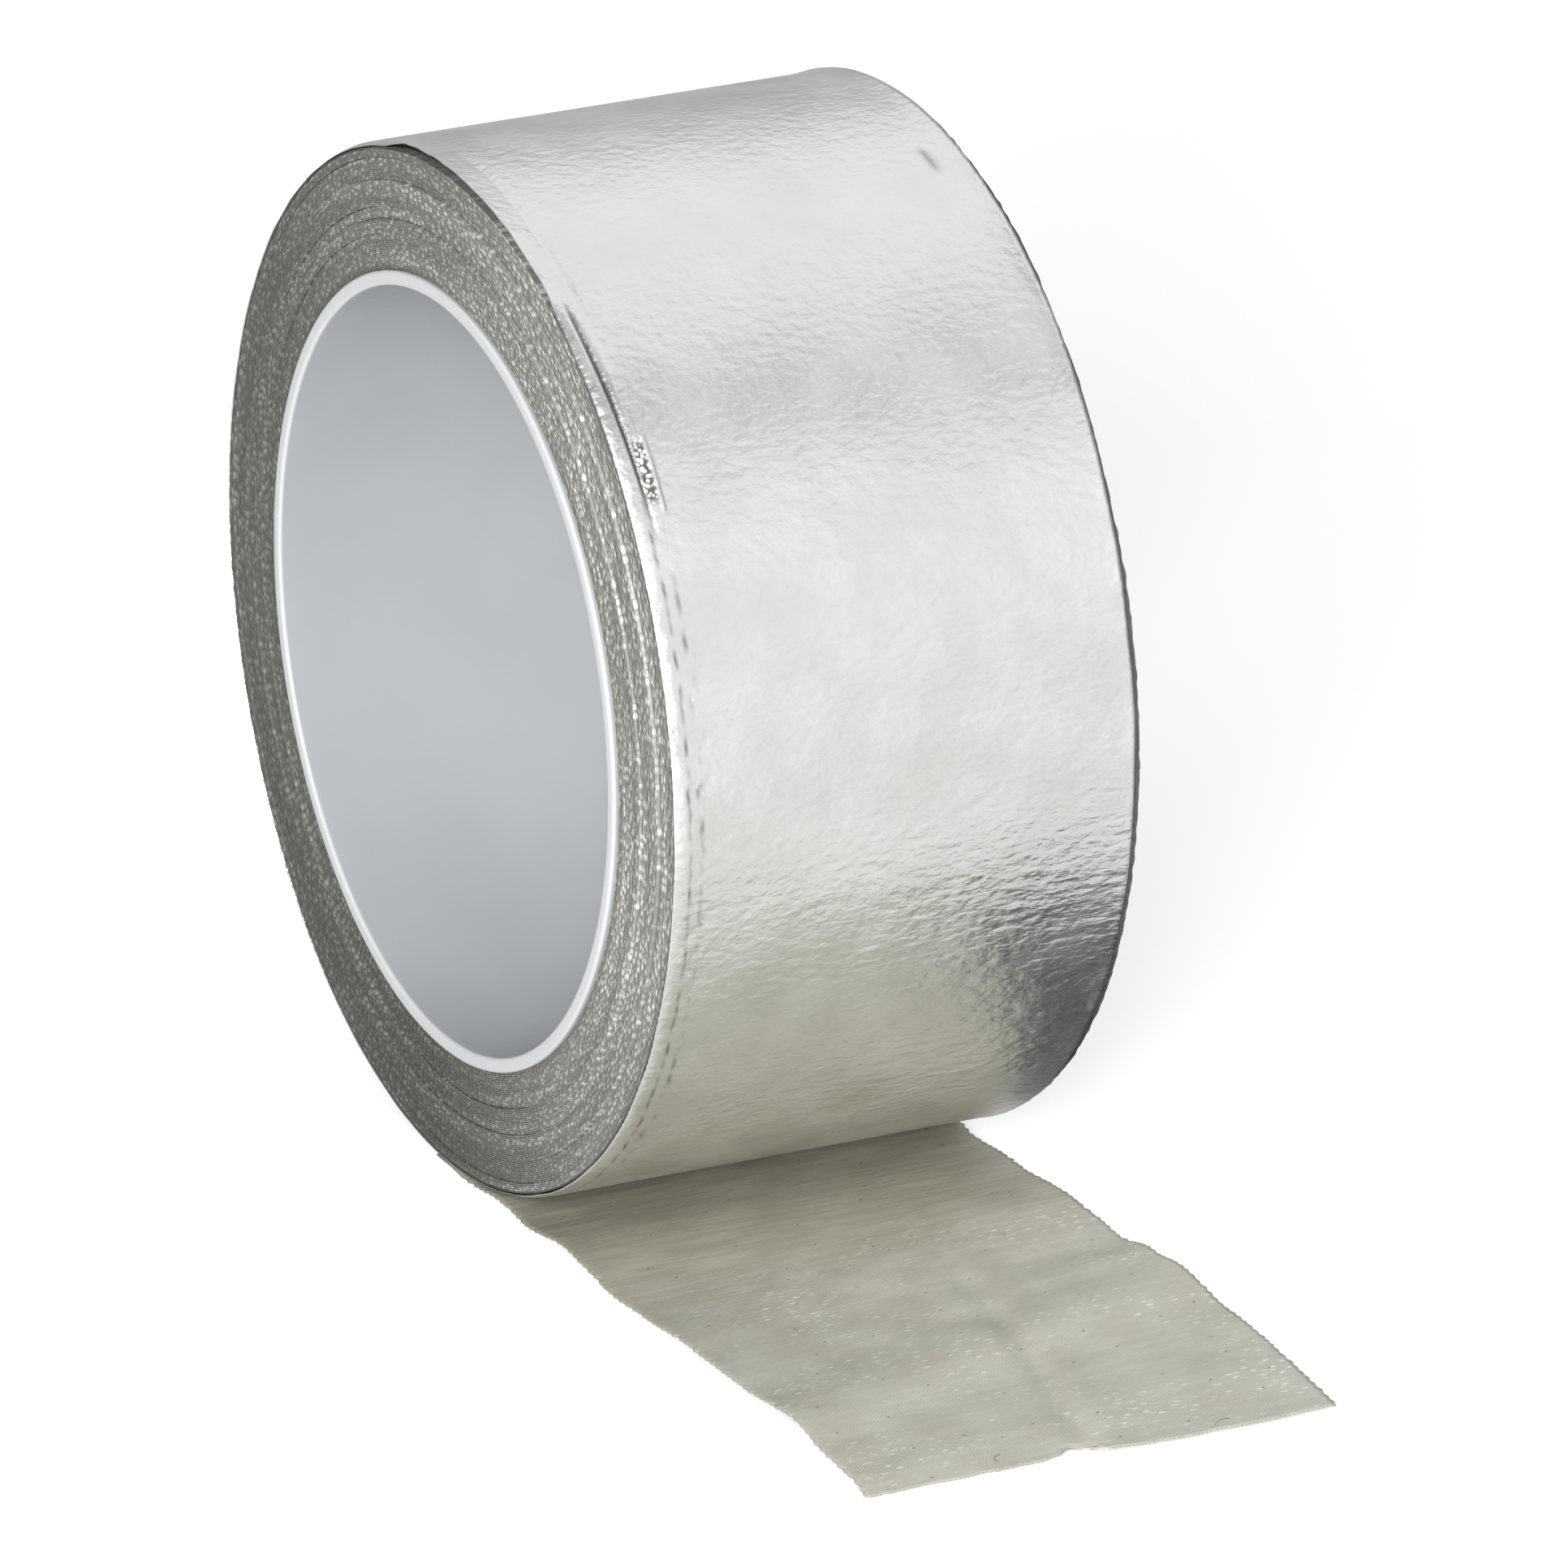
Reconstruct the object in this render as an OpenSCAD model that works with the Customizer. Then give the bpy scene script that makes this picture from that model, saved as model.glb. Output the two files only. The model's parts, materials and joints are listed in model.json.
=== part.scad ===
// Foil-faced glass-cloth duct tape on a plastic core.
// The roll stands on its rim, and a cut tail is laid out flat with its adhesive side up.
// The roll's axis lies along Y, the tail runs along +X, and the origin is the centre of the bore.

/* [Core] */
// Diameter of the hole through the core
bore_d = 76.2; // [60:0.1:80]
// Wall thickness of the core
core_wall = 1.5; // [1:0.1:3]
// Length of the core along its axis
core_len = 50.8; // [38:0.1:110]
// Rounding on the four lips of the core
lip_r = 0.35; // [0.1:0.05:0.45]

/* [Tape] */
// Width of the tape
tape_w = 49.5; // [36:0.5:100]
// Thickness of the aluminium foil face
foil_t = 0.04; // [0.02:0.01:0.1]
// Thickness of the woven glass cloth
cloth_t = 0.11; // [0.08:0.01:0.3]
// Thickness of the adhesive coat
adhesive_t = 0.05; // [0.02:0.01:0.15]

/* [Winding] */
// Outside diameter over the outermost turn
roll_d = 104; // [95:0.5:160]
// Turns in each band that wandered sideways together, from the core outwards
band_turns = [18, 7, 6, 13, 11, 6]; // [3:30]
// How far the bands of turns wander to either side
telescope = 0.25; // [0:0.05:0.6]

/* [Tail] */
// Length of tape laid out, from below the axis to the cut end
tail_len = 93.5; // [75:0.5:250]
// Flat stretch in front of the axis that the roll holds down
contact_front = 8; // [5:0.5:15]
// Flat stretch behind the axis that the roll holds down
contact_back = 4; // [2:0.5:8]
// Free height between the roll and the stretch below it
roll_gap = 0.05; // [0.02:0.01:0.1]

/* [Ridge across the tail] */
// Height of the ridge where the tail doesn't lie flat
ridge_h = 2.6; // [0:0.1:4]
// Distance from the ridge's crest to its foot
ridge_half_w = 20; // [12:0.5:22]
// Distance from the cut end back to the ridge's crest
ridge_back = 24; // [20:0.5:30]
// Angle by which the ridge leans from straight across
ridge_skew = 17; // [-20:1:20]

/* [Hidden] */

$fn = 180;
ridge_steps = 24;
// Where each band sits sideways, as a share of telescope: minus is towards -Y
band_side = [-0.2, -1, 0, -0.8, 0.6, 0.2];

tape_t = foil_t + cloth_t + adhesive_t;
core_r = bore_d / 2 + core_wall;
roll_r = roll_d / 2;
wound_r = roll_r - tape_t;

// The laid tape is foil, cloth, adhesive from the ground up
ground_z = -(roll_r + roll_gap + tape_t);
cloth_z = ground_z + foil_t;
adhesive_z = cloth_z + cloth_t;
ridge_at = tail_len - ridge_back;
reach = tail_len + tape_w;

// Turns wound under the outside of band i
function turns_to(i) = i == 0 ? 0 : band_turns[i - 1] + turns_to(i - 1);

// Outside radius of band i, and the core's outside for i = 0
function band_r(i) = core_r + (wound_r - core_r) * turns_to(i) / turns_to(len(band_turns));

// Sideways place of band i
function band_shift(i) = telescope * band_side[i - 1];

// Height of the ridge at a distance x from its crest
function ridge(x) = ridge_h * pow(cos(90 * x / ridge_half_w), 2);

// The ridge's line from the foot behind the crest to the foot in front of it
function ridge_line(z) = [
    for (i = [0 : ridge_steps])
        let (x = ridge_half_w * (2 * i / ridge_steps - 1))
            [x, z + ridge(x)]
];

// The whole laid line, flat on both sides of the ridge
function laid_line(z) = concat([[-reach, z]], ridge_line(z), [[reach, z]]);

function reversed(points) = [for (i = [len(points) - 1 : -1 : 0]) points[i]];

// A plain ring around Y, of one width and moved sideways by shift
module ring(inner_r, outer_r, width, shift = 0) {
    rotate([-90, 0, 0])
        translate([0, 0, shift - width / 2])
            rotate_extrude()
                polygon([[inner_r, 0], [outer_r, 0], [outer_r, width], [inner_r, width]]);
}

// Section of the core's wall, with its four lips rounded
module core_section() {
    translate([bore_d / 2, -core_len / 2 + lip_r])
        square([core_wall, core_len - 2 * lip_r]);
    translate([bore_d / 2 + lip_r, -core_len / 2])
        square([core_wall - 2 * lip_r, core_len]);
    for (x = [bore_d / 2 + lip_r, core_r - lip_r], y = [-1, 1])
        translate([x, y * (core_len / 2 - lip_r)])
            circle(r = lip_r, $fn = 32);
}

module core() {
    color("whitesmoke")
        rotate([-90, 0, 0])
            rotate_extrude()
                core_section();
}

// Wound turns, in bands counted from the core outwards
module turn_band(i) {
    color([0.46, 0.46, 0.42])
        ring(band_r(i - 1), band_r(i), tape_w, band_shift(i));
}

module outer_turn_adhesive() {
    color([0.72, 0.71, 0.64])
        ring(wound_r, wound_r + adhesive_t, tape_w);
}

module outer_turn_cloth() {
    color([0.62, 0.62, 0.56])
        ring(wound_r + adhesive_t, roll_r - foil_t, tape_w);
}

module outer_turn_foil() {
    color("silver")
        ring(roll_r - foil_t, roll_r, tape_w);
}

// One layer of the stretch between the roll and the ground
module contact_layer(z, thickness) {
    translate([-contact_back, -tape_w / 2, z])
        cube([contact_back + contact_front, tape_w, thickness]);
}

module contact_foil() {
    color("silver")
        contact_layer(ground_z, foil_t);
}

module contact_cloth() {
    color([0.62, 0.62, 0.56])
        contact_layer(cloth_z, cloth_t);
}

module contact_adhesive() {
    color([0.72, 0.71, 0.64])
        contact_layer(adhesive_z, adhesive_t);
}

// One layer of the free tail, with the ridge that crosses it aslant
module tail_layer(z, thickness) {
    intersection() {
        translate([ridge_at, 0, 0])
            rotate([90, 0, ridge_skew])
                linear_extrude(height = 2 * reach, center = true)
                    polygon(concat(laid_line(z), reversed(laid_line(z + thickness))));
        translate([contact_front, -tape_w / 2, ground_z - 1])
            cube([tail_len - contact_front, tape_w, ridge_h + tape_t + 2]);
    }
}

module tail_foil() {
    color("silver")
        tail_layer(ground_z, foil_t);
}

module tail_cloth() {
    color([0.62, 0.62, 0.56])
        tail_layer(cloth_z, cloth_t);
}

module tail_adhesive() {
    color([0.72, 0.71, 0.64])
        tail_layer(adhesive_z, adhesive_t);
}

core();
turn_band(1);  // turn_band_1
turn_band(2);  // turn_band_2
turn_band(3);  // turn_band_3
turn_band(4);  // turn_band_4
turn_band(5);  // turn_band_5
turn_band(6);  // turn_band_6
outer_turn_adhesive();
outer_turn_cloth();
outer_turn_foil();
contact_foil();
contact_cloth();
contact_adhesive();
tail_foil();
tail_cloth();
tail_adhesive();
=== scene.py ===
import json
import math
import random

import bmesh
import bpy
from mathutils import Matrix, Vector, noise


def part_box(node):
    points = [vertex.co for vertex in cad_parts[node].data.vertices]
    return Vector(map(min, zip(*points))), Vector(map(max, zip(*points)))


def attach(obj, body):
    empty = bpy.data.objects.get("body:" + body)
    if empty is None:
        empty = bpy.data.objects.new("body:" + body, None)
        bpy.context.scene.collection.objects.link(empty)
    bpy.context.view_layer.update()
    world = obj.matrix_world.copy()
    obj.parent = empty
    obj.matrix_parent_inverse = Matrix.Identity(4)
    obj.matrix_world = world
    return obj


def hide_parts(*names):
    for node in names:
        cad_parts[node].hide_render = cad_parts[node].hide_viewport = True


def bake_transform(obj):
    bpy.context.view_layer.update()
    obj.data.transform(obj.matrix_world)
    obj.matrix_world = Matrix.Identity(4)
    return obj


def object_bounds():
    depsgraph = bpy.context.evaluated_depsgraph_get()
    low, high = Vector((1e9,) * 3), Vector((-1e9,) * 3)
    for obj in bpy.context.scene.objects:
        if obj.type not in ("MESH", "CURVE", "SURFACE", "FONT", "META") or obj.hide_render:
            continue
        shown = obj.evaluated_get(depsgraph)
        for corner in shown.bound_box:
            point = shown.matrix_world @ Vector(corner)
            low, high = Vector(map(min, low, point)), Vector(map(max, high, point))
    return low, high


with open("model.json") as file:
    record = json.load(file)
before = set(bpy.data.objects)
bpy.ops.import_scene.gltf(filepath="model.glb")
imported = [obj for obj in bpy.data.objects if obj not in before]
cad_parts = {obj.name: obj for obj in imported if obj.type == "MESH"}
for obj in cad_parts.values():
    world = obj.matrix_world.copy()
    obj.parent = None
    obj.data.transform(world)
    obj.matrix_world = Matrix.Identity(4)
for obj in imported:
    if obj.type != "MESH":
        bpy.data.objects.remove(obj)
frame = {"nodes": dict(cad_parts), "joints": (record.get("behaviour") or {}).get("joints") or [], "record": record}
cad_low, cad_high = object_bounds()

# Core tube
# A short length of extruded tube in off-white satin plastic, which the tape is wound on. It is
# sawn a little longer than the tape is wide, and the edges of both sawn ends are rounded over.

MM = 0.001
core_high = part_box("core")[1]
core_outside = core_high.z
core_half = core_high.y
mounts = {mount["name"]: mount for mount in frame["record"]["mounts"]}
core_bore = mounts["core_bore"]["dims"]["r_mm"] * MM
core_lip = 0.35 * MM
core_steps = 300
wedges = 20
core_rings = 26
roll_axis = (0, 1, 0)


def loop_of_edges(bm, corners):
    """A closed loop of edges through corners given as (radius, place along the roll)."""
    verts = [bm.verts.new((radius, along, 0)) for radius, along in corners]
    for first, second in zip(verts, verts[1:] + verts[:1]):
        bm.edges.new((first, second))
    return verts


def spin_round_roll(bm, steps):
    """Spins every edge through one wedge, copies the wedge round the roll, and closes the seams."""
    wedge = math.tau / wedges
    bmesh.ops.spin(
        bm, geom=bm.verts[:] + bm.edges[:], cent=(0, 0, 0), axis=roll_axis, dvec=(0, 0, 0),
        angle=wedge, steps=steps // wedges, use_merge=False, use_duplicate=False,
    )
    bmesh.ops.spin(
        bm, geom=bm.verts[:] + bm.edges[:] + bm.faces[:], cent=(0, 0, 0), axis=roll_axis, dvec=(0, 0, 0),
        angle=math.tau - wedge, steps=wedges - 1, use_merge=False, use_duplicate=True,
    )
    bmesh.ops.remove_doubles(bm, verts=bm.verts[:], dist=0.0005 * MM)
    bmesh.ops.recalc_face_normals(bm, faces=bm.faces[:])


def finished_piece(bm, name, material, smooth=True):
    """Turns the bmesh into a named object at the origin with its material."""
    mesh = bpy.data.meshes.new(name)
    for face in bm.faces:
        face.smooth = smooth
    bm.to_mesh(mesh)
    bm.free()
    piece = bpy.data.objects.new(name, mesh)
    bpy.context.scene.collection.objects.link(piece)
    mesh.materials.append(material)
    return piece


def new_material(name):
    """An empty Principled material: its node tree and its shader."""
    material = bpy.data.materials.new(name)
    material.use_nodes = True
    tree = material.node_tree
    return material, tree, tree.nodes["Principled BSDF"]


def node(tree, kind, **values):
    """Adds a node. A value sets the property of that name, or else the input of that name."""
    made = tree.nodes.new(kind)
    for key, value in values.items():
        if hasattr(made, key):
            setattr(made, key, value)
    for key, value in values.items():
        if not hasattr(made, key):
            made.inputs[key.replace("_", " ")].default_value = value
    return made


def maths(tree, operation, first, second=None, clamp=False):
    """A Math node on two sockets or numbers. Returns its result socket."""
    made = node(tree, "ShaderNodeMath", operation=operation, use_clamp=clamp)
    for place, value in enumerate((first, second)):
        if isinstance(value, bpy.types.NodeSocket):
            tree.links.new(value, made.inputs[place])
        elif value is not None:
            made.inputs[place].default_value = value
    return made.outputs[0]


def ramp(tree, value, low, high, to_low=0.0, to_high=1.0, smooth=True):
    """Takes a value from the range low to high onto to_low to to_high, clamped."""
    made = node(tree, "ShaderNodeMapRange", clamp=True)
    made.interpolation_type = "SMOOTHSTEP" if smooth else "LINEAR"
    tree.links.new(value, made.inputs[0])
    for place, number in enumerate((low, high, to_low, to_high), start=1):
        made.inputs[place].default_value = number
    return made.outputs[0]


def mix(tree, factor, first, second):
    """Mixes two colours by a factor socket. Returns the colour socket."""
    made = node(tree, "ShaderNodeMix", data_type="RGBA")
    for place, value in ((0, factor), (6, first), (7, second)):
        if isinstance(value, bpy.types.NodeSocket):
            tree.links.new(value, made.inputs[place])
        else:
            made.inputs[place].default_value = value
    return made.outputs[2]


def noise_of(tree, vector, scale, detail=2.0, roughness=0.5):
    """Noise at that many lumps to the metre. Returns the value socket."""
    made = node(tree, "ShaderNodeTexNoise")
    made.inputs["Scale"].default_value = scale
    made.inputs["Detail"].default_value = detail
    made.inputs["Roughness"].default_value = roughness
    tree.links.new(vector, made.inputs["Vector"])
    return made.outputs["Fac"]


def stretched(tree, vector, scale):
    """The vector scaled along each axis."""
    made = node(tree, "ShaderNodeMapping")
    made.inputs["Scale"].default_value = scale
    tree.links.new(vector, made.inputs["Vector"])
    return made.outputs["Vector"]


def bump(tree, height, distance, strength=1.0, normal=None):
    """A bump of that depth in metres. Returns the normal socket."""
    made = node(tree, "ShaderNodeBump")
    made.inputs["Distance"].default_value = distance
    made.inputs["Strength"].default_value = strength
    tree.links.new(height, made.inputs["Height"])
    if normal is not None:
        tree.links.new(normal, made.inputs["Normal"])
    return made.outputs["Normal"]


blotches_group = bpy.data.node_groups.new("soft_blotches", "ShaderNodeTree")
blotches_group.interface.new_socket("Place", in_out="INPUT", socket_type="NodeSocketVector")
blotches_group.interface.new_socket("Scale", in_out="INPUT", socket_type="NodeSocketFloat")
blotches_group.interface.new_socket("Mask", in_out="OUTPUT", socket_type="NodeSocketFloat")
group_input = blotches_group.nodes.new("NodeGroupInput")
group_output = blotches_group.nodes.new("NodeGroupOutput")
lumps = node(blotches_group, "ShaderNodeTexNoise")
lumps.inputs["Detail"].default_value = 4.0
blotches_group.links.new(group_input.outputs["Place"], lumps.inputs["Vector"])
blotches_group.links.new(group_input.outputs["Scale"], lumps.inputs["Scale"])
spread = ramp(blotches_group, lumps.outputs["Fac"], 0.3, 0.7)
blotches_group.links.new(spread, group_output.inputs["Mask"])


def soft_blotches(tree, place, scale):
    """The shared soft blotches, at that many to the metre. Returns the mask socket."""
    made = node(tree, "ShaderNodeGroup", node_tree=blotches_group)
    made.inputs["Scale"].default_value = scale
    tree.links.new(place, made.inputs["Place"])
    return made.outputs["Mask"]


core_plastic, tree, shader = new_material("core_plastic")
place = node(tree, "ShaderNodeTexCoord").outputs["Object"]
drawn_lines = noise_of(tree, stretched(tree, place, (1, 0.06, 1)), 2600, 3)
haze = soft_blotches(tree, place, 60)
moulded = mix(tree, haze, (0.39, 0.402, 0.418, 1), (0.415, 0.427, 0.44, 1))
axes = node(tree, "ShaderNodeSeparateXYZ")
tree.links.new(place, axes.inputs[0])
from_middle = maths(tree, "ABSOLUTE", axes.outputs["Y"])
sawn = ramp(tree, from_middle, core_half - 0.5 * MM, core_half - 0.1 * MM)
tree.links.new(mix(tree, sawn, moulded, (0.65, 0.66, 0.67, 1)), shader.inputs["Base Color"])
tree.links.new(ramp(tree, drawn_lines, 0.3, 0.7, 0.36, 0.48), shader.inputs["Roughness"])
tree.links.new(bump(tree, drawn_lines, 0.01 * MM, 0.35), shader.inputs["Normal"])
shader.inputs["IOR"].default_value = 1.5

bm = bmesh.new()
corners = loop_of_edges(bm, (
    (core_bore, -core_half), (core_outside, -core_half),
    (core_outside, core_half), (core_bore, core_half),
))
bmesh.ops.bevel(
    bm, geom=corners, affect="VERTICES", offset=core_lip, segments=5, profile=0.5, material=-1,
)
long_edges = [edge for edge in bm.edges if edge.calc_length() > core_half]
bmesh.ops.subdivide_edges(bm, edges=long_edges, cuts=core_rings)
spin_round_roll(bm, core_steps)
core_tube = finished_piece(bm, "core_tube", core_plastic)
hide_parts("core")
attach(core_tube, "roll")

# Wound turns
# One long strip of foil, woven glass cloth and adhesive, wound turn on turn and seen edge on. The
# turns drifted sideways as the roll was wound, so they stand in bands at slightly different depths.

turn_thickness = 0.2 * MM
band_steps = 760
bands = sorted(name for name in frame["nodes"] if name.startswith("turn_band_"))
turn_crest = 0.12 * MM
flank = ((0.05, 0.0), (0.25, 1.0), (0.95, 0.05))
turn_wander = 0.035 * MM
foil_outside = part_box("outer_turn_foil")[1].z
under_field = 0.12 * MM
under_edge = 0.36 * MM

wound_edges, tree, shader = new_material("wound_edges")
place = node(tree, "ShaderNodeTexCoord").outputs["Object"]
axes = node(tree, "ShaderNodeSeparateXYZ")
tree.links.new(place, axes.inputs[0])
radius = maths(tree, "SQRT", maths(
    tree, "ADD", maths(tree, "POWER", axes.outputs["X"], 2), maths(tree, "POWER", axes.outputs["Z"], 2)
))
angle = maths(tree, "ARCTAN2", axes.outputs["Z"], axes.outputs["X"])
yarns_in_turn = 330
grain_depth = 0.5 * MM
lit_bearing = math.radians(27)
glue_zone = (0.3 * MM, 1.2 * MM)
across = maths(tree, "DIVIDE", radius, grain_depth)
along = maths(tree, "MULTIPLY", angle, yarns_in_turn / math.tau)
wrapped = node(tree, "ShaderNodeCombineXYZ")
tree.links.new(along, wrapped.inputs[0])
tree.links.new(across, wrapped.inputs[1])
yarn_ends = node(tree, "ShaderNodeTexVoronoi", voronoi_dimensions="2D", feature="F1")
yarn_ends.inputs["Scale"].default_value = 1.0
yarn_ends.inputs["Randomness"].default_value = 0.85
tree.links.new(wrapped.outputs[0], yarn_ends.inputs["Vector"])
loop_height = ramp(tree, yarn_ends.outputs["Distance"], 0.05, 0.60, 1.0, 0.0)
each_yarn = node(tree, "ShaderNodeSeparateColor")
tree.links.new(yarn_ends.outputs["Color"], each_yarn.inputs[0])
smears = noise_of(tree, stretched(tree, wrapped.outputs[0], (0.02, 0.35, 1)), 1.0, 3)
# The yarn ends are pale, and the top of each loop is painted up to near white as a painted glint.
tone = maths(tree, "MULTIPLY", loop_height, ramp(tree, each_yarn.outputs[0], 0.35, 0.95, 0.30, 1.5))
tone = maths(tree, "MULTIPLY", tone, ramp(tree, smears, 0.25, 0.75, 0.5, 1.3))
paler_inside = ramp(tree, radius, core_outside, cad_high.z, 1.15, 0.85, smooth=False)
tone = maths(tree, "MULTIPLY", tone, paler_inside, clamp=True)
edge_colour = mix(tree, tone, (0.33, 0.33, 0.30, 1), (1.0, 1.0, 0.97, 1))
rings = ramp(tree, smears, 0.35, 0.65, 0.35, 0.0)
edge_colour = mix(tree, rings, edge_colour, (0.09, 0.09, 0.08, 1))
glue_ring = ramp(tree, radius, core_outside + glue_zone[0], core_outside + glue_zone[1], 0.45, 0.0)
edge_colour = mix(tree, glue_ring, edge_colour, (0.20, 0.17, 0.12, 1))
# Painted shade: the end face is painted darker the further round it turns from bearing 27 degrees, the side where
# the light falls best. This shade is fixed to the roll and turns with it.
turned_x = maths(tree, "MULTIPLY", axes.outputs["X"], math.cos(lit_bearing))
turned_z = maths(tree, "MULTIPLY", axes.outputs["Z"], math.sin(lit_bearing))
toward_lit_bearing = maths(tree, "DIVIDE", maths(tree, "ADD", turned_x, turned_z), radius)
handling_and_painted_shade = ramp(tree, toward_lit_bearing, 0.35, 0.8, 0.36, 0.0)
edge_colour = mix(tree, handling_and_painted_shade, edge_colour, (0.06, 0.06, 0.054, 1))
glue_side = maths(tree, "FRACT", maths(tree, "DIVIDE", radius, turn_thickness))
glue_shown = ramp(tree, glue_side, 0.2, 0.3, 0.69, 0.0)
edge_colour = mix(tree, glue_shown, edge_colour, (0.05, 0.05, 0.042, 1))
tree.links.new(edge_colour, shader.inputs["Base Color"])
foil_side = ramp(tree, glue_side, 0.2, 0.3)
foil_glint = maths(tree, "MULTIPLY", ramp(tree, tone, 0.3, 0.8, 0.0, 0.2), foil_side)
tree.links.new(foil_glint, shader.inputs["Metallic"])
yarn_shine = ramp(tree, each_yarn.outputs[1], 0.0, 1.0, 0.3, 0.55)
tree.links.new(yarn_shine, shader.inputs["Roughness"])
tree.links.new(bump(tree, loop_height, 0.12 * MM, 0.9), shader.inputs["Normal"])

for number, name in enumerate(bands):
    low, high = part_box(name)
    outside = high.z
    inside = core_outside if number == 0 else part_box(bands[number - 1])[1].z
    turns = round((outside - inside) / turn_thickness)
    pitch = (outside - inside) / turns
    outline = []
    for side, face, order in ((-1, low.y, range(turns)), (1, high.y, reversed(range(turns)))):
        for turn in order:
            start = inside + turn * pitch
            steps_out = flank if side < 0 else reversed(flank)
            for share, rise in steps_out:
                outline.append((start + share * pitch, face - side * turn_crest * (1 - rise)))
    bm = bmesh.new()
    loop_of_edges(bm, outline)
    spin_round_roll(bm, band_steps)
    for vert in bm.verts:
        reach = math.hypot(vert.co.x, vert.co.z)
        turn = round((reach - inside) / pitch - 0.4)
        bearing = math.atan2(vert.co.z, vert.co.x)
        spot = (math.cos(bearing) * 9, math.sin(bearing) * 9, turn * 1.7 + number * 31)
        fine = (math.cos(bearing) * 90, math.sin(bearing) * 90, turn * 0.9 + number * 31)
        wander = noise.noise(spot) + 0.6 * noise.noise(fine)
        vert.co.y += turn_wander * wander * (1 if vert.co.y > 0 else -1)
        if reach > foil_outside - 0.5 * MM:
            sunk = (under_edge if vert.co.y < 0 else under_field) / reach
            vert.co.x -= sunk * vert.co.x
            vert.co.z -= sunk * vert.co.z
    band = finished_piece(bm, f"wound_turns_{number + 1}", wound_edges)
    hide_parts(name)
    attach(band, "roll")

# Cloth and adhesive of the outer turn
# The last full turn, with its glass cloth and its adhesive as thin hoops of their own. The yarns
# bulge along the cut edges. Both hoops are painted near black as painted shade, so beyond the foil's
# far edge the bare cloth shows as a dark line.

hoop_steps = 900
bare_edge = 0.45 * MM
loose_gap = 0.8 * MM
shade_painted_cloth, tree, shader = new_material("shade_painted_cloth")
place = node(tree, "ShaderNodeTexCoord").outputs["Object"]
cloth_mottle = noise_of(tree, place, 1500, 3)
# Painted shade: both hoops are painted a mottled near black where the foil's edges shade them.
shade_painted_colour = mix(tree, cloth_mottle, (0.035, 0.036, 0.038, 1), (0.13, 0.13, 0.125, 1))
tree.links.new(shade_painted_colour, shader.inputs["Base Color"])
tree.links.new(ramp(tree, cloth_mottle, 0.3, 0.7, 0.5, 0.75), shader.inputs["Roughness"])
tree.links.new(bump(tree, cloth_mottle, 0.05 * MM, 0.6), shader.inputs["Normal"])


def window(value, low, high, fade):
    """One between low and high, falling smoothly to nothing over fade on both sides."""
    t = min((value - low) / fade + 1, (high - value) / fade + 1)
    t = min(1.0, max(0.0, t))
    return t * t * (3 - 2 * t)


hoops = (("outer_cloth", "outer_turn_cloth", 0.11), ("outer_adhesive", "outer_turn_adhesive", 0.05))
for name, layer, gauge in hoops:
    low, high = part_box(layer)
    outside = high.z
    inside = outside - gauge * MM
    bm = bmesh.new()
    line = [(under_edge, low.y), (under_edge, low.y + 1.2 * MM), (under_field, low.y + 5 * MM)]
    line += [(under_field, high.y - 2 * MM), (0.0, high.y - 0.6 * MM), (0.0, high.y)]
    outer_line = [(outside - sunk, along_roll) for sunk, along_roll in line]
    inner_line = [(inside - sunk, along_roll) for sunk, along_roll in reversed(line)]
    loop_of_edges(bm, outer_line + inner_line)
    spin_round_roll(bm, hoop_steps)
    for vert in bm.verts:
        bearing = math.atan2(vert.co.z, vert.co.x)
        far = vert.co.y > 0
        yarns = noise.noise((math.cos(bearing) * 42, math.sin(bearing) * 42, 5 if far else 0))
        drift = noise.noise((math.cos(bearing) * 4, math.sin(bearing) * 4, 8))
        if far and vert.co.y > high.y - 1 * MM:
            vert.co.y += (0.16 * yarns + 0.12 * drift - 0.05) * MM
        elif not far:
            gap = loose_gap * window(math.degrees(bearing), 62, 100, 8)
            vert.co.y += gap + (0.05 + 0.06 * yarns) * MM
    hoop = finished_piece(bm, name, shade_painted_cloth, smooth=False)
    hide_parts(layer)
    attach(hoop, "roll")

# Foil of the outer turn
# The roll's bright outside: thin aluminium foil laminated onto the cloth, so that the weave and the
# lumps of the turns below show as soft dimples. Handling has rolled its near edge over, folded and
# torn it in one place, and let the far edge spring up a little.

foil_steps = 700
edge_rows = 34
field_rows = 76
inner_rows = 18
edge_zone = 5.6 * MM
foil_gap = 0.2 * MM
foil_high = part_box("outer_turn_foil")[1]
foil_inside = foil_outside - 0.04 * MM
foil_half = foil_high.y

foil, tree, shader = new_material("foil")
place = node(tree, "ShaderNodeTexCoord").outputs["Object"]
axes = node(tree, "ShaderNodeSeparateXYZ")
tree.links.new(place, axes.inputs[0])
dimples = noise_of(tree, stretched(tree, place, (1, 0.7, 1)), 1100, 2, 0.5)
wrinkles = noise_of(tree, stretched(tree, place, (1, 0.28, 1)), 1300, 2, 0.5)
crinkles = noise_of(tree, stretched(tree, place, (1, 0.6, 1)), 1900, 2, 0.6)
low_side = ramp(tree, axes.outputs["Z"], 0.045, -0.045)
far_side = ramp(tree, axes.outputs["Y"], -0.020, 0.022, 0.35, 1.0)
handling_and_painted_shade = maths(tree, "MULTIPLY", low_side, far_side)
pinched = ramp(tree, noise_of(tree, place, 85, 2), 0.56, 0.70)
wrinkled = maths(tree, "MULTIPLY", wrinkles, maths(tree, "MULTIPLY", handling_and_painted_shade, 1.6))
crinkled = maths(tree, "MULTIPLY", crinkles, maths(tree, "MULTIPLY", pinched, 0.45))
relief = maths(tree, "ADD", maths(tree, "ADD", dimples, wrinkled), crinkled)
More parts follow.
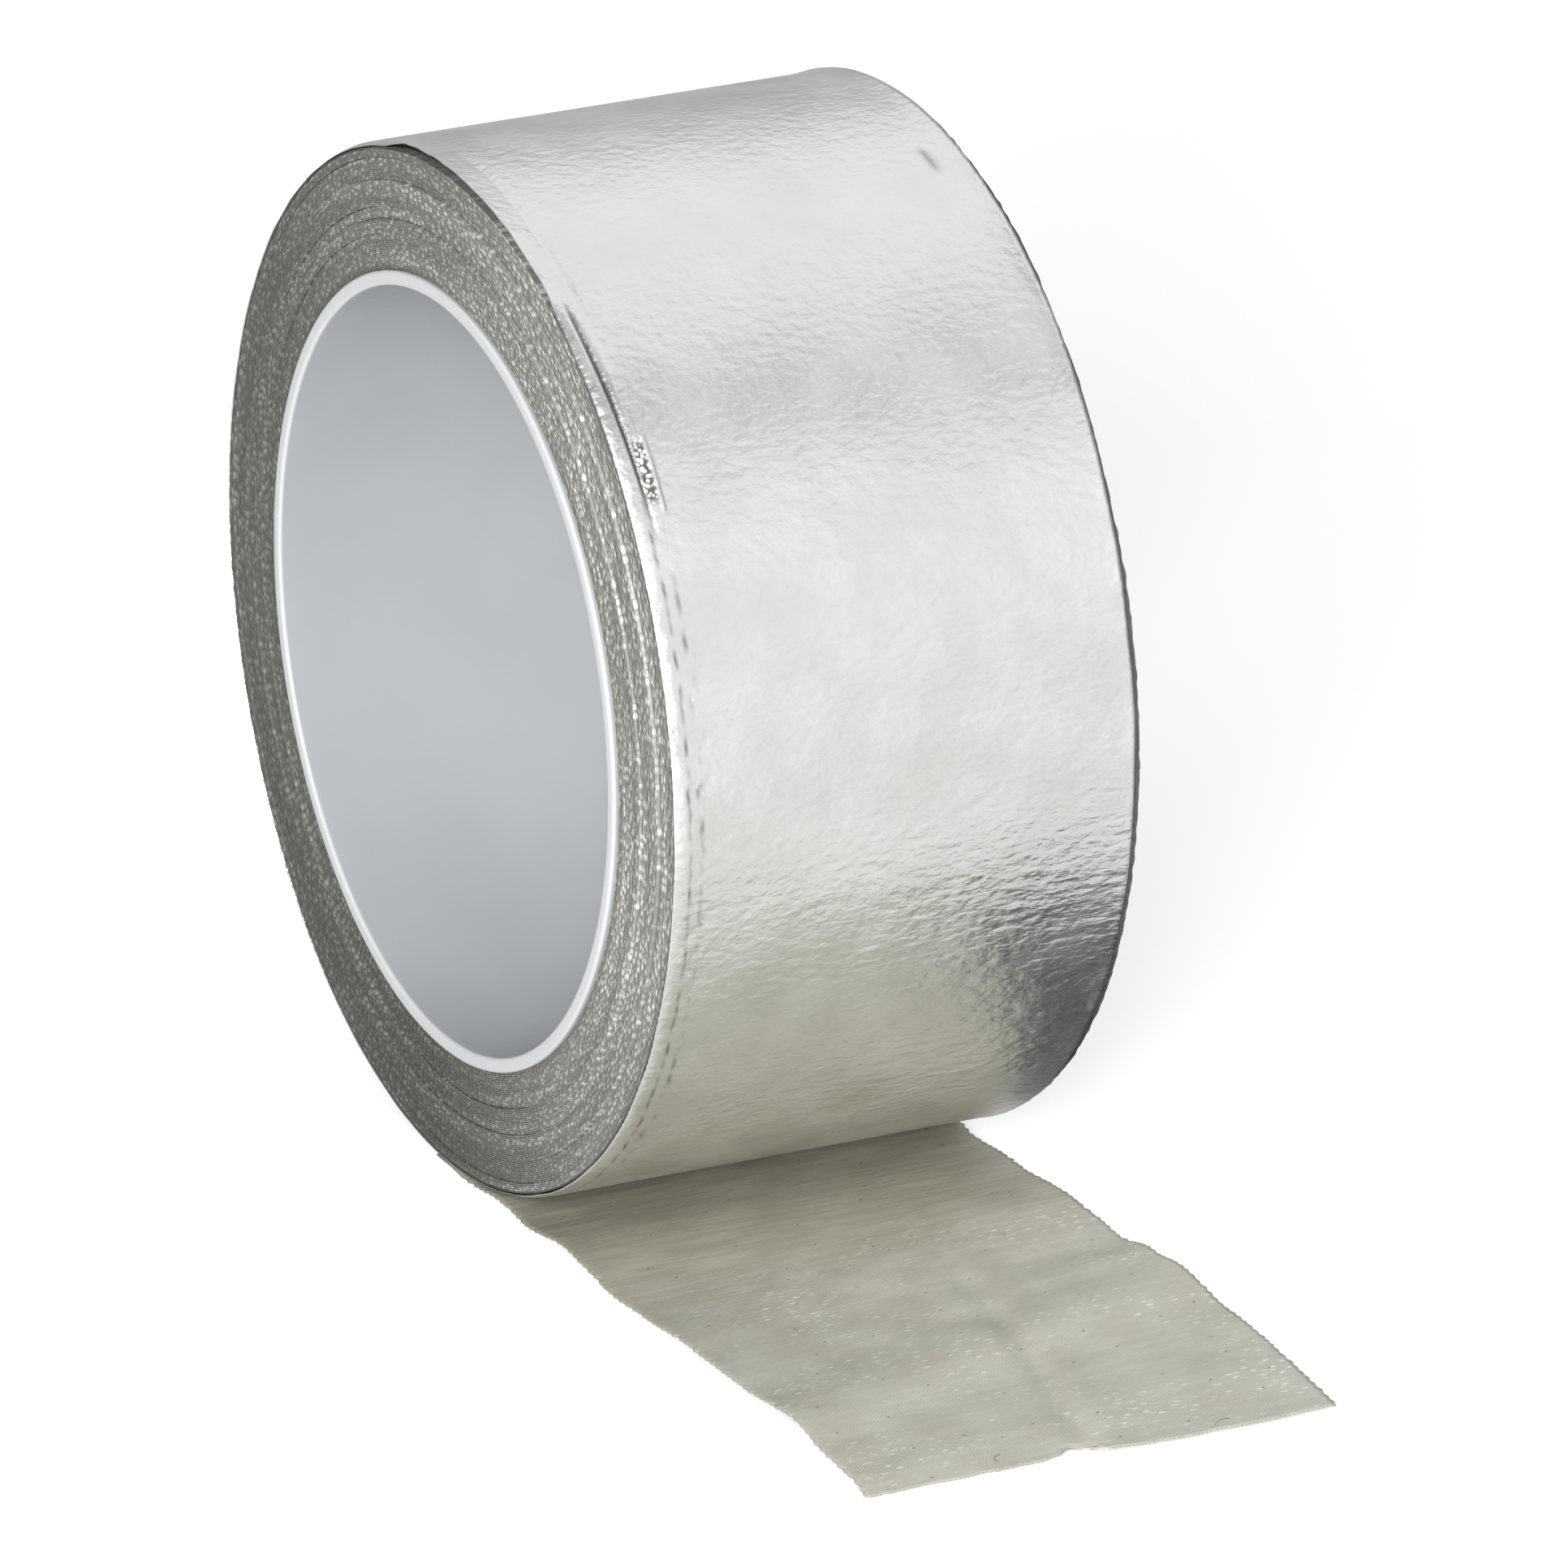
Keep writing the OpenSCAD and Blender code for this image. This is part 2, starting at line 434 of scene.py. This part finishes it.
tree.links.new(bump(tree, relief, 0.15 * MM, 1.0), shader.inputs["Normal"])
haze = soft_blotches(tree, place, 120)
bright = mix(tree, haze, (0.84, 0.84, 0.815, 1), (0.90, 0.90, 0.88, 1))
fold_shade_mask = node(tree, "ShaderNodeAttribute", attribute_name="fold_shade").outputs["Fac"]
torn = node(tree, "ShaderNodeAttribute", attribute_name="torn").outputs["Fac"]
bare_dots = node(tree, "ShaderNodeTexVoronoi", feature="F1")
bare_dots.inputs["Scale"].default_value = 2200
tree.links.new(place, bare_dots.inputs["Vector"])
between_dots = ramp(tree, bare_dots.outputs["Distance"], 0.25, 0.6)
bare_cloth = mix(tree, between_dots, (0.85, 0.85, 0.82, 1), (0.10, 0.10, 0.09, 1))
# Painted shade: the foil's folds and crease lines are painted near black.
foil_shaded_in_folds = mix(tree, fold_shade_mask, bright, (0.045, 0.047, 0.052, 1))
tree.links.new(mix(tree, torn, foil_shaded_in_folds, bare_cloth), shader.inputs["Base Color"])
tree.links.new(ramp(tree, haze, 0.0, 1.0, 0.31, 0.37), shader.inputs["Roughness"])
tree.links.new(maths(tree, "SUBTRACT", 1.0, torn), shader.inputs["Metallic"])


def fold_place(bearing):
    """How many mm from the near edge the sharp fold of the rolled edge lies, at degrees round."""
    return 1.35 + 0.03 * (58 - bearing)


def foil_lift(bearing, across):
    """How far the foil stands out of its round in mm, at degrees round and mm from the near edge."""
    turn = math.radians(bearing)
    spot = Vector((math.cos(turn) * 52, across * 0.55, math.sin(turn) * 52))
    handling_and_painted_shade = 0.35 + 0.65 * window(across, 22, 60, 14) * window(bearing, -90, 0, 35)
    lift = 0.14 + handling_and_painted_shade * (0.035 * noise.noise(spot * 0.42) + 0.05 * noise.noise(spot * 0.85))
    lift += 0.03 * noise.noise(spot * 0.12)
    sprung = window(bearing, 64, 98, 7)
    lip = max(0.0, 1 - across / 1.3)
    lift -= 0.34 * lip ** 1.7 * (1 - sprung)
    lift += (0.34 + 0.12 * noise.noise((turn * 20, 2, 0))) * sprung * max(0.0, 1 - across / 2.6) ** 1.5
    crease = window(bearing, 62, 88, 14)
    lift -= 0.10 * crease * math.exp(-((across - 2.8 - 0.02 * (bearing - 75)) / 0.55) ** 2)
    fold = window(bearing, 36, 58, 5)
    lift -= 0.20 * fold * math.exp(-((across - fold_place(bearing)) / 0.18) ** 2)
    lift += 0.14 * fold * math.exp(-((across - fold_place(bearing) - 0.9) / 0.5) ** 2)
    tear = window(bearing, 36, 43, 1.5)
    lift += 0.24 * tear * math.exp(-((across - 3.5) / 0.22) ** 2)
    lift -= 0.08 * tear * math.exp(-((across - 2.7) / 0.5) ** 2)
    crumpled = window(bearing, -28, 32, 8) * window(across, 1.8, 3.8, 1.0)
    crinkle = noise.noise((math.cos(turn) * 30, math.sin(turn) * 30, across * 0.35))
    lift -= 0.09 * crumpled * max(0.0, 1 - abs(crinkle) / 0.12)
    flutes = math.sin(bearing * 5.2 + across * 2.2)
    lift += 0.05 * flutes * window(bearing, -40, 30, 6) * max(0.0, 1 - across / 1.8)
    band = noise.noise((math.cos(turn) * 12, math.sin(turn) * 12, 2.0))
    lift += 0.10 * band * max(0.0, 1 - across / 3.0)
    from_far = 2 * foil_half / MM - across
    looser = 0.65 + 0.35 * math.cos(math.radians(bearing - 70))
    lift += 0.26 * max(0.0, 1 - from_far / 3.6) ** 2 * looser
    return lift


def painted_fold_shade(bearing, across):
    """Painted shade in the foil's fold and crease lines, with one short dark streak near the far edge, from 0 to
    1.
    """
    turn = math.radians(bearing)
    width = 0.10 + 0.16 * window(bearing, 42, 50, 10)
    fold = window(bearing, 37, 58, 4) * math.exp(-((across - fold_place(bearing)) / width) ** 2)
    along = 52 * turn
    wave = 0.22 * noise.noise((along * 0.35, 4, 0)) + 0.10 * noise.noise((along, 6, 0))
    broken = max(0.0, min(1.0, 0.45 + 1.6 * noise.noise((along * 0.6, 9, 0))))
    first = window(bearing, -62, 34, 5) * broken * math.exp(-((across - 1.55 - wave) / 0.15) ** 2)
    broken = max(0.0, min(1.0, 2.2 * noise.noise((along * 0.5, 15, across * 0.3))))
    second = window(bearing, -50, 26, 8) * broken * math.exp(-((across - 2.8 - 2.2 * wave) / 0.22) ** 2)
    lines = 0.75 * first + 0.6 * second
    streak = 0.5 * window(bearing, 73, 75, 2) * math.exp(-((across - 45.5) / 0.4) ** 2)
    return min(1.0, 0.95 * fold + lines + streak)


bm = bmesh.new()
loop_of_edges(bm, (
    (foil_inside, -foil_half), (foil_outside, -foil_half),
    (foil_outside, foil_half), (foil_inside, foil_half),
))
fold_shade_layer = bm.verts.layers.float.new("fold_shade")
torn_layer = bm.verts.layers.float.new("torn")
long_edges = [edge for edge in bm.edges if edge.calc_length() > foil_half]
for edge in long_edges:
    outer = edge.verts[0].co.x > foil_outside - 0.001 * MM
    rows = edge_rows + field_rows if outer else inner_rows
    bmesh.ops.subdivide_edges(bm, edges=[edge], cuts=rows - 1)
near_share = edge_rows / (edge_rows + field_rows)
for vert in bm.verts:
    share = (vert.co.y + foil_half) / (2 * foil_half)
    if vert.co.x < foil_outside - 0.001 * MM:
        vert.co.y = -foil_half * math.cos(math.pi * share)
    elif share <= near_share:
        vert.co.y = -foil_half + edge_zone * share / near_share
    else:
        field_share = (share - near_share) / (1 - near_share)
        vert.co.y = -foil_half + edge_zone + (2 * foil_half - edge_zone) * field_share
spin_round_roll(bm, foil_steps)
for vert in bm.verts:
    reach = math.hypot(vert.co.x, vert.co.z)
    bearing = math.atan2(vert.co.z, vert.co.x)
    degrees = math.degrees(bearing)
    across = (vert.co.y + foil_half) / MM
    from_end = min(across, 2 * foil_half / MM - across) * MM
    lift = foil_lift(degrees, across) * MM
    if reach < foil_outside - 0.02 * MM:
        lift -= foil_gap * min(1.0, from_end / (1.2 * MM))
    vert[fold_shade_layer] = painted_fold_shade(degrees, across)
    vert[torn_layer] = window(degrees, 36.5, 42.5, 1.0) * window(across, 2.3, 3.2, 0.3)
    vert.co.x += lift * math.cos(bearing)
    vert.co.z += lift * math.sin(bearing)
    if across * MM > foil_half:
        drift = noise.noise((math.cos(bearing) * 6, math.sin(bearing) * 6, 4))
        low_side = window(degrees, -90, -10, 50)
        back = bare_edge + (0.15 * drift + 0.35 * low_side) * MM
        vert.co.y -= back * max(0.0, 1 - from_end / (2 * MM))
outer_foil = finished_piece(bm, "outer_foil", foil)
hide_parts("outer_turn_foil")
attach(outer_foil, "roll")

# Laid end of the tape
# The free end runs out along the floor with its foil face down and its sticky cloth face up. It
# is two sheets bonded together, rippled where it was pulled off the roll, and torn across its end.

run_out = frame["joints"][1]["range_m"][1]
strip_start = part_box("contact_foil")[0].x
strip_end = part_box("tail_foil")[1].x
strip_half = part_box("tail_foil")[1].y
floor_height = cad_low.z
bend_start = 2.5 * MM
bend_end = 8.0 * MM
strip_columns = 84
hidden_rows = 90
open_rows = 290
foil_gauge = 0.04 * MM
cloth_gauge = 0.15 * MM

# Ripple lines run from the near edge to the far edge: place and height at each of the two.
ripple_lines = (
    (-4.0, 0.00, -4.0, 0.00),
    (5.0, 0.00, 5.0, 0.00),
    (10.0, 0.45, 12.0, 0.70),
    (16.5, 0.15, 16.0, 0.35),
    (25.0, 0.95, 26.0, 0.85),
    (39.5, 0.00, 38.0, 1.60),
    (53.5, 1.10, 48.5, 1.40),
    (65.5, 1.30, 55.0, 2.40),
    (76.5, 2.10, 61.5, 3.10),
    (84.5, 1.10, 71.0, 2.10),
    (89.0, 0.70, 79.0, 1.90),
    (94.5, 0.00, 95.0, 0.55),
)


def strip_lift(x, y):
    """Height of the strip's underside above the floor, from the two ripple lines it lies between."""
    share = min(1.0, max(0.0, (y + strip_half) / (2 * strip_half)))
    before, after = None, None
    for line in ripple_lines:
        middle = (line[0] + (line[2] - line[0]) * share) * MM
        height = (line[1] + (line[3] - line[1]) * share) * MM
        if middle <= x:
            before = (middle, height)
        elif after is None:
            after = (middle, height)
    if before is None or after is None:
        return (before or after)[1]
    t = (x - before[0]) / (after[0] - before[0])
    lift = before[1] + (after[1] - before[1]) * t * t * (3 - 2 * t)
    valley = (y - (6.6 * MM - 0.167 * (x - 47 * MM))) / (1.6 * MM)
    dip = 0.45 * math.exp(-valley ** 2) - 0.22 * math.exp(-(valley / 2.4) ** 2)
    deep = window(x, 52 * MM, 92 * MM, 8 * MM) * dip
    soft = 0.06 * noise.noise((x * 130, y * 130, 0)) * window(x, 20 * MM, 88 * MM, 8 * MM)
    return max(0.0, lift + (soft - deep) * MM)


def strip_place(x, y):
    """Where a flat place on the strip lies, with its torn end and scalloped sides: x, y and lift."""
    end = max(0.0, 1 - (strip_end - x) / (2.5 * MM))
    side = max(0.0, 1 - (strip_half - abs(y)) / (1.2 * MM))
    ragged = noise.noise((y * 900, 3, 0)) * 0.35 + noise.noise((y * 150, 9, 0)) * 0.5
    slant = 0.45 * max(-1.0, min(1.0, y / (6 * MM))) - 0.2
    notch = math.exp(-((y + 1.9 * MM) / (1.9 * MM)) ** 2) * 1.9
    along = x + end * (ragged + slant - notch) * MM
    edge_seed = 7 if y > 0 else 0
    loops = math.sin(x * math.tau / (1.2 * MM) + 2 * noise.noise((x * 300, edge_seed, 0)))
    frayed = noise.noise((x * 1000, edge_seed, 0)) * 0.14
    swaying = noise.noise((x * 180, 20, y * 50)) * 0.3
    scalloped = 0.10 * loops + frayed + swaying
    wide = y + side * (scalloped - 0.1) * MM * (1 if y > 0 else -1)
    return along, wide, strip_lift(x, y)


def run_share(x):
    """The share of the run-out that a place on the strip has: none before the bend, all after it."""
    t = min(1.0, max(0.0, (x - bend_start) / (bend_end - bend_start)))
    return t * t * (3 - 2 * t)


def row_places():
    """Places of the rows along the strip. They crowd under the roll, to spread evenly once run out."""
    rows = [strip_start, (strip_start + bend_start) / 2]
    for number in range(hidden_rows + 1):
        low, high = bend_start, bend_end
        wanted = number / hidden_rows
        for _ in range(40):
            middle = (low + high) / 2
            if run_share(middle) < wanted:
                low = middle
            else:
                high = middle
        rows.append((low + high) / 2)
    open_pitch = (strip_end - bend_end) / open_rows
    rows += [bend_end + open_pitch * number for number in range(1, open_rows + 1)]
    return rows


def laid_sheet(name, material, bottom, gauge):
    """One sheet of the laid strip, with its weave mapped in metres along the tape as it runs out."""
    rows = row_places()
    bm = bmesh.new()
    bmesh.ops.create_grid(bm, x_segments=len(rows) - 1, y_segments=strip_columns, size=1.0)
    strips = bm.loops.layers.uv.new("along_tape")
    bm.verts.ensure_lookup_table()
    flat_places = {}
    for vert in bm.verts:
        row = round((vert.co.x + 1) / 2 * (len(rows) - 1))
        x = rows[row]
        y = vert.co.y * strip_half
        flat_places[vert] = (x, y)
    for face in bm.faces:
        for loop in face.loops:
            x, y = flat_places[loop.vert]
            loop[strips].uv = (x + run_out * run_share(x), y)
    for vert, (x, y) in flat_places.items():
        along, wide, lift = strip_place(x, y)
        vert.co = (along, wide, floor_height + bottom + lift)
    bmesh.ops.solidify(bm, geom=bm.faces[:], thickness=-gauge)
    bmesh.ops.recalc_face_normals(bm, faces=bm.faces[:])
    sheet = finished_piece(bm, name, material)
    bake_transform(sheet)
    return sheet


sticky_cloth, tree, shader = new_material("sticky_cloth")
tape_map = node(tree, "ShaderNodeUVMap", uv_map="along_tape").outputs["UV"]
axes = node(tree, "ShaderNodeSeparateXYZ")
tree.links.new(tape_map, axes.inputs[0])
thread_pitch = 0.42 * MM
free_end = strip_end + run_out
warp = maths(tree, "SINE", maths(tree, "MULTIPLY", axes.outputs["Y"], math.tau / thread_pitch))
weft = maths(tree, "SINE", maths(tree, "MULTIPLY", axes.outputs["X"], math.tau / thread_pitch))
weave_height = ramp(tree, maths(tree, "MULTIPLY", warp, weft), -1.0, 1.0, 0.0, 1.0)
# Painted shade: the strip is painted darker and browner towards the roll, where the roll shades it, with more dark
# streaks and fewer glints there. This shade is mapped along the tape.
near_roll_shade = ramp(tree, axes.outputs["X"], free_end - 38 * MM, free_end - 72 * MM)
blotches = soft_blotches(tree, tape_map, 160)
base = mix(tree, blotches, (0.475, 0.465, 0.39, 1), (0.54, 0.533, 0.465, 1))
base = mix(tree, ramp(tree, near_roll_shade, 0.0, 1.0, 0.0, 0.6), base, (0.34, 0.322, 0.24, 1))
streaks = noise_of(tree, stretched(tree, tape_map, (1, 0.08, 1)), 1500, 3)
more_near_roll = ramp(tree, near_roll_shade, 0.0, 1.0, 0.25, 1.0)
streaks = maths(tree, "MULTIPLY", ramp(tree, streaks, 0.40, 0.62, 0.6, 0.0), more_near_roll)
base = mix(tree, streaks, base, (0.25, 0.235, 0.18, 1))
base = mix(tree, ramp(tree, weave_height, 0.2, 0.9, 0.35, 0.0), base, (0.27, 0.255, 0.20, 1))
# Painted glints: rows of short near-white dashes across the cloth stand in for glints of light off the adhesive
# over the yarns.
dashes = node(tree, "ShaderNodeTexVoronoi", voronoi_dimensions="2D", feature="F1")
dashes.inputs["Scale"].default_value = 1.0
dashes.inputs["Randomness"].default_value = 1.0
dash_grid = stretched(tree, tape_map, (1 / (0.7 * MM), 1 / (2.0 * MM), 1))
tree.links.new(dash_grid, dashes.inputs["Vector"])
each_dash = node(tree, "ShaderNodeSeparateColor")
tree.links.new(dashes.outputs["Color"], each_dash.inputs[0])
gaps = noise_of(tree, stretched(tree, tape_map, (1, 0.5, 1)), 110, 3)
gappy = ramp(tree, gaps, 0.42, 0.64, 0.1, 1.0)
painted_glints = maths(tree, "MULTIPLY", ramp(tree, dashes.outputs["Distance"], 0.08, 0.26, 0.85, 0.0), gappy)
painted_glints = maths(tree, "MULTIPLY", painted_glints, ramp(tree, each_dash.outputs[0], 0.2, 1.0))
painted_glints = maths(tree, "MULTIPLY", painted_glints, ramp(tree, near_roll_shade, 0.0, 1.0, 1.0, 0.15))
base = mix(tree, painted_glints, base, (0.88, 0.88, 0.84, 1))
specks = node(tree, "ShaderNodeTexVoronoi", voronoi_dimensions="2D", feature="F1")
specks.inputs["Scale"].default_value = 150
tree.links.new(tape_map, specks.inputs["Vector"])
dark_specks = ramp(tree, specks.outputs["Distance"], 0.012, 0.03, 0.8, 0.0)
base = mix(tree, dark_specks, base, (0.06, 0.055, 0.05, 1))
tree.links.new(base, shader.inputs["Base Color"])
tree.links.new(ramp(tree, blotches, 0.0, 1.0, 0.34, 0.52), shader.inputs["Roughness"])
cloth_relief = maths(tree, "ADD", weave_height, painted_glints)
tree.links.new(bump(tree, cloth_relief, 0.06 * MM, 0.6), shader.inputs["Normal"])

laid_foil = laid_sheet("laid_foil", foil, 0.0, foil_gauge)
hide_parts("contact_foil", "tail_foil")
laid_cloth = laid_sheet("laid_cloth", sticky_cloth, foil_gauge, cloth_gauge)
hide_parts("contact_cloth", "contact_adhesive", "tail_cloth", "tail_adhesive")

# Loose yarns at the cut end
# Where the tape was torn across, the ends of its glass yarns stick out a little, and two dark hairs
# have stuck to the adhesive beside the tear.

yarn_count = 96
yarn_radius = 0.05 * MM
hair_radius = 0.035 * MM
hair_link = 0.5 * MM
loose = random.Random(11)


def add_yarn(bm, root, heading, length, thick):
    """A thin tapering yarn of four sides that starts at root."""
    turned = heading.to_track_quat("Z", "Y").to_matrix().to_4x4()
    middle = Matrix.Translation(root + heading * length / 2)
    bmesh.ops.create_cone(
        bm, cap_ends=True, segments=4, radius1=thick, radius2=thick * 0.5, depth=length,
        matrix=middle @ turned,
    )


def strip_top(x, y):
    """The point on the strip's sticky face at a flat place on it."""
    along, wide, lift = strip_place(x, y)
    return Vector((along, wide, floor_height + foil_gauge + cloth_gauge + lift))


yarn_glass, tree, shader = new_material("yarn_glass")
place = node(tree, "ShaderNodeTexCoord").outputs["Object"]
twist = noise_of(tree, stretched(tree, place, (0.2, 1, 1)), 6000, 2)
glass = mix(tree, twist, (0.52, 0.51, 0.44, 1), (0.78, 0.77, 0.72, 1))
tree.links.new(glass, shader.inputs["Base Color"])
tree.links.new(ramp(tree, twist, 0.3, 0.7, 0.35, 0.55), shader.inputs["Roughness"])
tree.links.new(bump(tree, twist, 0.01 * MM, 0.5), shader.inputs["Normal"])
bm = bmesh.new()
for number in range(yarn_count):
    y = strip_half * (2 * (number + 0.5) / yarn_count - 1)
    heading = Vector((1, loose.uniform(-0.6, 0.6), loose.uniform(-0.05, 0.2))).normalized()
    root = strip_top(strip_end, y) - heading * 0.25 * MM - Vector((0, 0, 1.2 * yarn_radius))
    add_yarn(bm, root, heading, loose.uniform(0.35, 0.85) * MM, yarn_radius)
end_yarns = finished_piece(bm, "end_yarns", yarn_glass)
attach(end_yarns, "tail")

dark_hair, tree, shader = new_material("dark_hair")
place = node(tree, "ShaderNodeTexCoord").outputs["Object"]
shine = noise_of(tree, place, 3000, 2)
hair_colour = mix(tree, shine, (0.03, 0.027, 0.024, 1), (0.10, 0.09, 0.08, 1))
tree.links.new(hair_colour, shader.inputs["Base Color"])
tree.links.new(ramp(tree, shine, 0.3, 0.7, 0.3, 0.5), shader.inputs["Roughness"])
bm = bmesh.new()
for start_x, start_y, bearing, bend in ((0.0905, -0.0095, -1.2, 0.35), (0.0930, 0.0120, 2.6, -0.3)):
    root = strip_top(start_x, start_y)
    for link in range(5):
        heading = Vector((math.cos(bearing), math.sin(bearing), 0.05))
        add_yarn(bm, root, heading.normalized(), hair_link, hair_radius)
        root = root + heading.normalized() * 0.96 * hair_link
        bearing += bend
hairs = finished_piece(bm, "stuck_hairs", dark_hair)
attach(hairs, "tail")

# Studio
# A plain white floor under soft light: a broad light overhead, one in front of the roll, and two on
# the side of the open end face. The floor looks evenly white to the camera, but the foil mirrors it
# a little darker, with a painted shadow on the floor beside the laid strip that only reflections see.

floor_size = 6.0
floor_glow = 0.36
light_distance = 1.2

floor_paint, tree, shader = new_material("floor_paint")
seen = node(tree, "ShaderNodeLightPath").outputs["Is Camera Ray"]
axes = node(tree, "ShaderNodeSeparateXYZ")
tree.links.new(node(tree, "ShaderNodeTexCoord").outputs["Object"], axes.inputs[0])
# Painted shadow: a dark patch on the floor beside the laid strip. Only rays that are not camera rays see it, so
# the foil mirrors a shaded floor there.
painted_shadow_sides = (("X", 0.018, 0.026), ("X", 0.090, 0.076), ("Y", 0.0245, 0.0275), ("Y", 0.080, 0.060))
painted_shadow = 1.0
for side, outer, inner in painted_shadow_sides:
    painted_shadow = maths(tree, "MULTIPLY", ramp(tree, axes.outputs[side], outer, inner), painted_shadow)
mirrored_with_painted_shadow = mix(tree, painted_shadow, (0.76, 0.76, 0.75, 1), (0.05, 0.055, 0.068, 1))
tree.links.new(mix(tree, seen, mirrored_with_painted_shadow, (0.97, 0.97, 0.97, 1)), shader.inputs["Base Color"])
tree.links.new(mix(tree, seen, (0, 0, 0, 1), (1, 1, 1, 1)), shader.inputs["Emission Color"])
shader.inputs["Emission Strength"].default_value = floor_glow
shader.inputs["Roughness"].default_value = 0.8
bm = bmesh.new()
bmesh.ops.create_grid(bm, x_segments=1, y_segments=1, size=floor_size)
for vert in bm.verts:
    vert.co.z = floor_height
floor = finished_piece(bm, "floor", floor_paint)

world = bpy.data.worlds.new("studio")
bpy.context.scene.world = world
world.use_nodes = True
tree = world.node_tree
axes = node(tree, "ShaderNodeSeparateXYZ")
tree.links.new(node(tree, "ShaderNodeTexCoord").outputs["Generated"], axes.inputs[0])
behind_roll = ramp(tree, axes.outputs["Y"], -0.5, 0.25)
sky = mix(tree, behind_roll, (0.16, 0.165, 0.17, 1), (0.445, 0.452, 0.462, 1))
tree.links.new(sky, tree.nodes["Background"].inputs["Color"])
tree.nodes["Background"].inputs["Strength"].default_value = 1.0


def soft_light(name, direction, width, height, brightness):
    """A softbox in that direction from the roll, turned to it, whose face has that brightness."""
    data = bpy.data.lights.new(name, "AREA")
    data.shape = "RECTANGLE"
    data.size = width
    data.size_y = height
    data.energy = brightness * math.pi * width * height
    light = bpy.data.objects.new(name, data)
    bpy.context.scene.collection.objects.link(light)
    light.location = Vector(direction).normalized() * light_distance
    light.rotation_euler = Vector(direction).to_track_quat("Z", "Y").to_euler()
    light.visible_camera = False
    return light


soft_light("overhead", (-0.34, 0.40, 0.83), 1.4, 1.2, 0.46)
soft_light("front", (0.80, 0.42, 0.45), 1.0, 1.4, 0.44)
soft_light("key", (0.76, -0.56, 0.33), 0.5, 0.5, 21.0)
soft_light("top", (0.45, -0.35, 0.82), 0.5, 0.5, 1.5)

camera_azimuth = math.radians(64.378)
camera_elevation = math.radians(20.705)
camera_roll = math.radians(-0.328)
camera_distance = 1.8113
camera_right = 10.63 * MM
camera_up = -14.87 * MM
focal_length = 424.6
back = Vector((
    math.sin(camera_azimuth) * math.cos(camera_elevation),
    -math.cos(camera_azimuth) * math.cos(camera_elevation),
    math.sin(camera_elevation),
))
right = Vector((math.cos(camera_azimuth), math.sin(camera_azimuth), 0))
up = back.cross(right)
right, up = (
    right * math.cos(camera_roll) + up * math.sin(camera_roll),
    up * math.cos(camera_roll) - right * math.sin(camera_roll),
)
lens = bpy.data.cameras.new("camera")
lens.lens = focal_length
camera = bpy.data.objects.new("camera", lens)
bpy.context.scene.collection.objects.link(camera)
camera.location = back * camera_distance + right * camera_right + up * camera_up
turn = back.to_track_quat("Z", "Y").to_matrix()
turn.col[0], turn.col[1], turn.col[2] = right, up, back
camera.rotation_euler = turn.to_euler()
bpy.context.scene.camera = camera
bpy.context.scene.view_settings.view_transform = "Standard"
